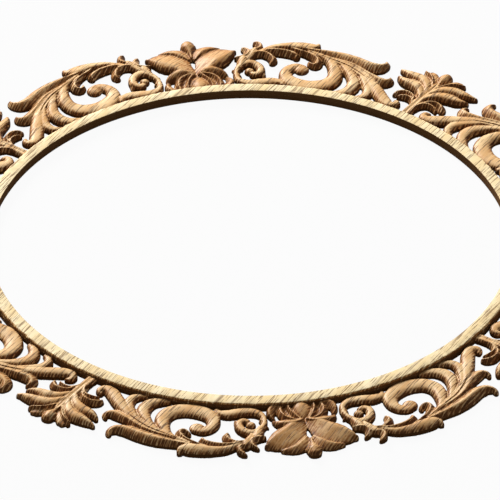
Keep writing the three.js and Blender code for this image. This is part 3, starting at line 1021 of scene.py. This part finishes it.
@dataclass
class Rim:
    """Flat ring of two layers of glued segments."""

    sight_radius: float = 395.0
    width: float = 21.0
    height: float = 15.0
    front_height: float = 7.0
    glue_line: float = 0.02
    layer_line: float = 0.1
    outer_arris: float = 3.2
    outer_steps: int = 6
    sight_arris: float = 0.6
    sight_steps: int = 3
    arris_margin: float = 0.2
    sharp_angle: float = 35.0
    segments: int = 8
    back_turn: float = 16.5
    spin_steps: int = 150
    wear: float = 1.3
    wear_length: float = 5.0

    @property
    def outer_radius(self) -> float:
        """Radius of the rim's outer wall."""
        return self.sight_radius + self.width

    def start_angle(self, layer: Layer, number: int) -> float:
        """Angle in degrees at which a segment starts.

        Args:
            layer: Layer of the segment.
            number: Its number, from 1.

        Returns:
            The angle from the X axis.
        """
        turn = 360 / self.segments
        stagger = turn / 2 if layer is Layer.FRONT else 0.0
        return self.back_turn + stagger + (number - 1) * turn

    def build(self, material: bpy.types.Material, pockets: list[tuple[float, bpy.types.Object]]) -> None:
        """Spins a segment for each layer and sets its copies round the rim.

        Args:
            material: Wood of the rim.
            pockets: Angle and cutter of each pocket in the back.
        """
        for layer in Layer:
            spun = self._spun(layer)
            for number in range(1, self.segments + 1):
                piece = self._segment(spun, layer, number)
                start = self.start_angle(layer, number)
                for angle, cutter in pockets:
                    if layer is Layer.BACK and (angle - start) % 360 < 360 / self.segments:
                        boolean(piece, cutter, "DIFFERENCE")
                smooth(piece, self.sharp_angle)
                dress(piece, material, f"rim_{layer.value}_segment_{number}")
            bpy.data.objects.remove(spun)

    def _spun(self, layer: Layer) -> bpy.types.Object:
        """Spins one segment of a layer from its profile.

        Args:
            layer: Layer of the segment.

        Returns:
            The segment, starting at the X axis, to be copied.
        """
        split = self.height - self.front_height
        low, high = (split, self.height) if layer is Layer.FRONT else (0.0, split - self.layer_line)
        choose_none()
        bpy.ops.mesh.primitive_plane_add(size=1.0, rotation=(math.pi / 2, 0, 0), location=(
            (self.sight_radius + self.width / 2) * MM, 0, (low + high) / 2 * MM))
        spun = bpy.context.active_object
        spun.scale = (self.width * MM, (high - low) * MM, 1.0)
        settle(spun)
        if layer is Layer.FRONT:
            self._ease_corner(spun, self.outer_radius, high, self.outer_arris, self.outer_steps)
            self._ease_corner(spun, self.sight_radius, high, self.sight_arris, self.sight_steps)
        line = math.degrees(self.glue_line / self.sight_radius)
        spun.rotation_euler.z = math.radians(line / 2)
        settle(spun)
        with editing(spun):
            bpy.ops.mesh.spin(steps=self.spin_steps, angle=math.radians(360 / self.segments - line),
                              center=(0, 0, 0), axis=(0, 0, -1))
        close_up(spun)
        return spun

    def _segment(self, spun: bpy.types.Object, layer: Layer, number: int) -> bpy.types.Object:
        """Copies a spun segment to its place, and wears it if it lies in front.

        Args:
            spun: Segment to copy.
            layer: Layer of the segment.
            number: Its number, from 1.

        Returns:
            The segment, with no pocket.
        """
        piece = copied(spun, f"rim_{layer.value}_{number}_planed")
        piece.rotation_euler.z = math.radians(self.start_angle(layer, number))
        settle(piece)
        if layer is Layer.FRONT:
            self._wear(piece)
        return piece

    @staticmethod
    def _ease_corner(piece: bpy.types.Object, radius: float, z: float, size: float, steps: int) -> None:
        """Rounds one corner of a segment's profile.

        Args:
            piece: Flat profile.
            radius: Corner's distance from the rim's axis.
            z: Corner's height.
            size: Size of the rounding.
            steps: Steps of the rounding.
        """
        with editing(piece):
            bpy.ops.mesh.select_all(action="DESELECT")
            bpy.ops.object.mode_set(mode="OBJECT")
            places = points_of(piece)
            nearest = int(np.argmin(np.hypot(places[:, 0] - radius * MM, places[:, 2] - z * MM)))
            piece.data.vertices[nearest].select = True
            bpy.ops.object.mode_set(mode="EDIT")
            bpy.ops.mesh.bevel(affect="VERTICES", offset=size * MM, offset_type="OFFSET", segments=steps)

    def _wear(self, piece: bpy.types.Object) -> None:
        """Wears the rounded outer edge a little unevenly, inwards and downwards.

        Args:
            piece: Segment of the front layer.
        """
        places = points_of(piece)
        radius = np.hypot(places[:, 0], places[:, 1])
        reach = self.outer_arris + self.arris_margin
        edge = ((radius > (self.outer_radius - reach) * MM)
                & (places[:, 2] > (self.height - reach) * MM))
        for index in np.nonzero(edge)[0]:
            waver = noise.noise(Vector(places[index]) / (self.wear_length * MM))
            chip = self.wear * MM * (0.5 + 0.5 * waver)
            places[index, :2] *= 1.0 - chip / radius[index]
            places[index, 2] -= chip
        place_points(piece, places)


# Hangers


@dataclass(frozen=True)
class Recess:
    """Place of a hanger: its number, its angle in degrees and which way along the rim it points."""

    number: int
    angle: float
    towards: int

    def place(self, radius: float) -> Matrix:
        """Way from a hanger's own frame to the frame of the part.

        Args:
            radius: Distance of the hanger from the rim's axis, in millimetres.

        Returns:
            The matrix, in metres.
        """
        at = math.radians(self.angle)
        spot = Vector((radius * math.cos(at), radius * math.sin(at), 0)) * MM
        turn = Matrix.Rotation(math.radians(self.angle + 90 * self.towards), 4, "Z")
        return Matrix.Translation(spot) @ turn


@dataclass
class Hanger:
    """Ring hanger let into the back: strap, ring and screw, drawn with x along the rim."""

    recesses: tuple[Recess, ...] = (Recess(1, 55.4, 1), Recess(2, 124.6, -1))
    rim_mid_radius: float = 405.5
    strap_width: float = 7.0
    strap_length: float = 11.0
    strap_thickness: float = 1.2
    barrel_radius: float = 2.2
    wire_radius: float = 1.0
    ring_straight: float = 4.0
    ring_half_width: float = 4.8
    barrel_z: float = 2.6
    screw_x: float = -6.05
    head_radius: float = 2.4
    head_height: float = 1.5
    shank_radius: float = 1.3
    shank_length: float = 7.5
    shank_overlap: float = 0.1
    head_top: float = 3.3
    pocket_depth: float = 5.1
    pocket_margin: float = 1.5
    running_gap: float = 0.3
    pocket_start: float = -6.0
    pocket_ease: float = 0.6
    strap_ease: float = 0.25
    strap_sharp_angle: float = 30.0
    screw_sharp_angle: float = 35.0
    hole_margin: float = 0.2
    hole_length: float = 6.0
    ring_bend: float = 1.2
    cross_half: tuple[float, float] = (1.5, 0.28)
    cross_depth: float = 0.7
    cross_ease: float = 0.05

    @property
    def strap_high(self) -> float:
        """Height of the strap's inner face."""
        return self.barrel_z + self.barrel_radius

    def _put(self, made: bpy.types.Object, name: str, recess: Recess) -> bpy.types.Object:
        """Copies a piece from the hanger's own frame to its place on the rim.

        Args:
            made: Piece to copy.
            name: Name of the copy.
            recess: Place of the hanger.

        Returns:
            The copy.
        """
        piece = copied(made, name)
        piece.data.transform(recess.place(self.rim_mid_radius))
        piece.data.update()
        return piece

    def _block(self, low: tuple[float, float, float], high: tuple[float, float, float],
               ease: float) -> bpy.types.Object:
        """Makes a block with eased edges.

        Args:
            low: Lower corner in millimetres.
            high: Upper corner in millimetres.
            ease: Size of the easing.

        Returns:
            The block, in the hanger's own frame.
        """
        choose_none()
        middle = [(a + b) / 2 * MM for a, b in zip(low, high)]
        bpy.ops.mesh.primitive_cube_add(size=1.0, location=middle)
        block = bpy.context.active_object
        block.scale = [(b - a) * MM for a, b in zip(low, high)]
        settle(block)
        with editing(block):
            bpy.ops.mesh.bevel(affect="EDGES", offset=ease * MM, segments=3, offset_type="OFFSET")
        return block

    def _rod(self, radius: float, length: float, middle: tuple[float, float, float],
             lying: bool) -> bpy.types.Object:
        """Makes a round rod.

        Args:
            radius: Its radius in millimetres.
            length: Its length.
            middle: Its middle point.
            lying: Whether it lies along the y axis; it stands otherwise.

        Returns:
            The rod, in the hanger's own frame.
        """
        choose_none()
        bpy.ops.mesh.primitive_cylinder_add(
            vertices=40, radius=radius * MM, depth=length * MM, location=[c * MM for c in middle],
            rotation=(math.pi / 2 if lying else 0.0, 0, 0))
        rod = bpy.context.active_object
        settle(rod)
        return rod

    def pockets(self) -> list[tuple[float, bpy.types.Object]]:
        """Makes a cutter for each pocket in the back.

        Returns:
            Angle and cutter of each pocket.
        """
        bow = self.ring_straight + self.ring_half_width + self.wire_radius
        half = self.ring_half_width + self.wire_radius + self.running_gap
        cutter = self._block((-self.strap_length - self.pocket_margin, -half, self.pocket_start),
                             (bow + self.pocket_margin, half, self.pocket_depth), self.pocket_ease)
        pockets = [(recess.angle, self._put(cutter, "pocket", recess)) for recess in self.recesses]
        bpy.data.objects.remove(cutter)
        return pockets

    def build(self, material: bpy.types.Material) -> None:
        """Makes the strap, ring and screw once and sets a copy of each in every pocket.

        Args:
            material: Steel of the hangers.
        """
        strap, ring, screw = self._strap(), self._ring(), self._screw()
        for recess in self.recesses:
            number = recess.number
            for made, label, way, body in ((strap, "strap", "pressed", BODY),
                                           (ring, "ring", "wire", f"ring_{number}"),
                                           (screw, "screw", "turned", BODY)):
                piece = self._put(made, f"hanger_{label}_{number}_{way}", recess)
                dress(piece, material, f"hanger_{label}_{number}", body)
        for made in (strap, ring, screw):
            bpy.data.objects.remove(made)

    def _strap(self) -> bpy.types.Object:
        """Makes the folded strap with its rolled barrel.

        Returns:
            The strap, in the hanger's own frame.
        """
        half, pivot = self.strap_width / 2, (0, 0, self.barrel_z)
        strap = self._block((-self.strap_length, -half, self.strap_high - self.strap_thickness),
                            (0.0, half, self.strap_high), self.strap_ease)
        boolean(strap, self._rod(self.barrel_radius, self.strap_width, pivot, True), "UNION")
        bore = self._rod(self.wire_radius + self.hole_margin, 2 * self.strap_width, pivot, True)
        boolean(strap, bore, "DIFFERENCE")
        hole = self._rod(self.shank_radius + self.hole_margin, self.hole_length,
                         (self.screw_x, 0, self.strap_high), False)
        boolean(strap, hole, "DIFFERENCE")
        smooth(strap, self.strap_sharp_angle)
        return strap

    def _ring(self) -> bpy.types.Object:
        """Bends the D-shaped ring from round wire.

        Returns:
            The ring, in the hanger's own frame.
        """
        turn = np.linspace(0.0, math.pi, 40)
        corner = np.linspace(0.0, math.pi / 2, 8)
        half, straight, bend = self.ring_half_width, self.ring_straight, self.ring_bend
        bow = np.stack([straight + half * np.sin(turn), half * np.cos(turn)], 1)
        low = np.stack([bend - bend * np.sin(corner), -half + bend - bend * np.cos(corner)], 1)
        high = np.stack([bend - bend * np.cos(corner), half - bend + bend * np.sin(corner)], 1)
        bar = np.stack([np.zeros(12), np.linspace(-half + bend, half - bend, 14)[1:-1]], 1)
        line = np.concatenate([bow, low, bar, high])
        line = np.concatenate([line, line[:1]])
        closed = np.concatenate([line[-2:-1], line, line[1:2]])
        along = closed[2:] - closed[:-2]
        along /= np.linalg.norm(along, axis=1)[:, None]
        across = np.stack([along[:, 1], -along[:, 0]], 1)
        around = np.linspace(0.0, 2 * math.pi, 17)
        points = np.zeros((len(line), len(around), 3))
        shift = (self.wire_radius * np.cos(around))[None, :, None]
        points[..., :2] = line[:, None] + shift * across[:, None]
        points[..., 2] = self.barrel_z + self.wire_radius * np.sin(around)[None]
        ring = rolled_sheet("ring", points * MM)
        close_up(ring)
        choose(ring)
        bpy.ops.object.shade_smooth()
        return ring

    def _screw(self) -> bpy.types.Object:
        """Turns the domed screw and cuts a cross in its head.

        Returns:
            The screw, in the hanger's own frame.
        """
        choose_none()
        bpy.ops.mesh.primitive_uv_sphere_add(segments=40, ring_count=24, radius=1.0, location=(
            self.screw_x * MM, 0, self.head_top * MM))
        screw = bpy.context.active_object
        screw.scale = (self.head_radius * MM, self.head_radius * MM, self.head_height * MM)
        settle(screw)
        with editing(screw):
            bpy.ops.mesh.bisect(plane_co=(0, 0, self.head_top * MM), plane_no=(0, 0, -1), use_fill=True,
                                clear_inner=True)
        middle = (self.screw_x, 0, self.head_top + self.shank_length / 2 - self.shank_overlap)
        boolean(screw, self._rod(self.shank_radius, self.shank_length, middle, False), "UNION")
        face = self.head_top - self.head_height
        for along, across in (self.cross_half, self.cross_half[::-1]):
            slot = self._block((self.screw_x - along, -across, face - 1.0),
                               (self.screw_x + along, across, face + self.cross_depth), self.cross_ease)
            boolean(screw, slot, "DIFFERENCE")
        smooth(screw, self.screw_sharp_angle)
        return screw


# Studio


@dataclass
class Studio:
    """Camera, lamps and pale floor."""

    azimuth: float = -10.5
    elevation: float = 35.83
    roll: float = 0.12
    distance: float = 23.7
    lens: float = 1127.0
    sight_top: float = 15.0
    image_centre: tuple[float, float] = (250.1, 240.9)
    image_size: float = 500.0
    key_power: float = 2060.0
    key_distance: float = 10.0
    key_size: float = 3.6
    key_azimuth: float = -156.0
    key_elevation: float = 28.0
    ambient: float = 0.19
    sensor: float = 36.0
    floor_size: float = 60.0
    floor_drop: float = 0.5
    paper_grey: float = 0.4
    paper_white: float = 0.95

    def build(self) -> None:
        """Sets the view transform and makes the camera, lamps, floor and world."""
        bpy.context.scene.view_settings.view_transform = "Standard"
        self._camera()
        self._key()
        self._floor()
        self._world()

    @staticmethod
    def _towards(azimuth: float, elevation: float) -> Vector:
        """Unit vector from the frame to a viewer or lamp.

        Args:
            azimuth: Turn in degrees, counted from the -Y side.
            elevation: Rise in degrees.

        Returns:
            The vector.
        """
        turn, rise = math.radians(azimuth), math.radians(elevation)
        return Vector((math.sin(turn) * math.cos(rise), -math.cos(turn) * math.cos(rise), math.sin(rise)))

    def _camera(self) -> None:
        """Long lens at the photograph's angle, moved sideways until the frame lies where it should."""
        back = self._towards(self.azimuth, self.elevation)
        turned = (-back).to_track_quat("-Z", "Y").to_matrix()
        right, up = turned.col[0].copy(), turned.col[1].copy()
        pixel = self.sensor / self.lens * self.distance / self.image_size
        aim = Vector((0, 0, self.sight_top * MM))
        aim -= right * (self.image_centre[0] - self.image_size / 2) * pixel
        aim += up * (self.image_centre[1] - self.image_size / 2) * pixel
        rolled = turned @ Matrix.Rotation(math.radians(self.roll), 3, "Z")
        choose_none()
        bpy.ops.object.camera_add(location=aim + back * self.distance, rotation=rolled.to_euler())
        camera = bpy.context.active_object
        camera.name = "camera"
        camera.data.lens = self.lens
        camera.data.sensor_width = self.sensor
        camera.data.clip_end = 200.0
        bpy.context.scene.camera = camera

    def _key(self) -> None:
        """Large soft lamp beyond the frame."""
        way = self._towards(self.azimuth + self.key_azimuth, self.key_elevation)
        choose_none()
        bpy.ops.object.light_add(type="AREA", location=way * self.key_distance)
        lamp = bpy.context.active_object
        lamp.name = "key_lamp"
        lamp.rotation_euler = way.to_track_quat("Z", "Y").to_euler()
        lamp.data.size = self.key_size
        lamp.data.energy = self.key_power

    def _floor(self) -> None:
        """Pale floor that keeps the frame's soft shadow and looks white to the camera."""
        choose_none()
        bpy.ops.mesh.primitive_plane_add(size=self.floor_size, location=(0, 0, -self.floor_drop * MM))
        floor = bpy.context.active_object
        floor.name = "floor"
        settle(floor)
        made = bpy.data.materials.new("floor_paper")
        nodes = bare(made)
        paper = nodes.add("ShaderNodeBsdfDiffuse", {"Color": (*[self.paper_grey] * 3, 1.0)})
        white = nodes.add("ShaderNodeEmission", {"Color": WHITE, "Strength": 1.0})
        nodes.surface(nodes.add("ShaderNodeMixShader", {
            0: self._seen(nodes, self.paper_white), 1: paper.outputs[0], 2: white.outputs[0]}))
        floor.data.materials.append(made)

    @staticmethod
    def _seen(nodes: Nodes, share: float) -> bpy.types.NodeSocket:
        """White for rays that come from the camera, straight or by a mirror or glass.

        Args:
            nodes: Helper for the tree.
            share: Share of white for such rays.

        Returns:
            The share, or 0 for other rays.
        """
        path = nodes.add("ShaderNodeLightPath")
        direct = nodes.math("MAXIMUM", path.outputs["Is Camera Ray"], path.outputs["Is Glossy Ray"])
        seen = nodes.math("MAXIMUM", direct, path.outputs["Is Transmission Ray"])
        return nodes.math("MULTIPLY", seen, share)

    def _world(self) -> None:
        """Even pale surround, white where it is seen."""
        world = bpy.data.worlds.new("surround")
        bpy.context.scene.world = world
        nodes = bare(world)
        soft = nodes.add("ShaderNodeBackground", {"Color": WHITE, "Strength": self.ambient})
        white = nodes.add("ShaderNodeBackground", {"Color": WHITE, "Strength": 1.0})
        nodes.surface(nodes.add("ShaderNodeMixShader", {
            0: self._seen(nodes, 1.0), 1: soft.outputs[0], 2: white.outputs[0]}), "ShaderNodeOutputWorld")


def main() -> None:
    """Builds the studio and the frame's pieces in order, and gives the dowels their wood."""
    logging.basicConfig(level=logging.INFO, format="%(name)s: %(message)s")
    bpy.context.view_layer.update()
    Studio().build()
    carved, flowered, planed = CARVED_WOOD.material(), FLOWER_WOOD.material(), RIM_WOOD.material()
    dowel, steel = DOWEL_WOOD.material(), HANGER_STEEL.material()
    hanger = Hanger()
    Rim().build(planed, hanger.pockets())
    ornaments = [
        Ornament("flower", 0.0, FLOWER_STROKES),
        Ornament("leaf_spray", 45.0, SPRAY_STROKES),
        Ornament("left_scroll", 0.0, SCROLL_STROKES, Hand.LEFT, balls=SCROLL_BALLS),
        Ornament("right_scroll", 0.0, SCROLL_STROKES, Hand.RIGHT, balls=SCROLL_BALLS),
    ]
    for ornament in ornaments:
        ornament.build(flowered if ornament.kind == "flower" else carved)
    hanger.build(steel)
    for name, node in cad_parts.items():
        if "dowel" in name:
            node.data.materials.clear()
            node.data.materials.append(dowel)
            LOG.info("%s: kept, with %s", name, dowel.name)


if __name__ == "__main__":
    main()
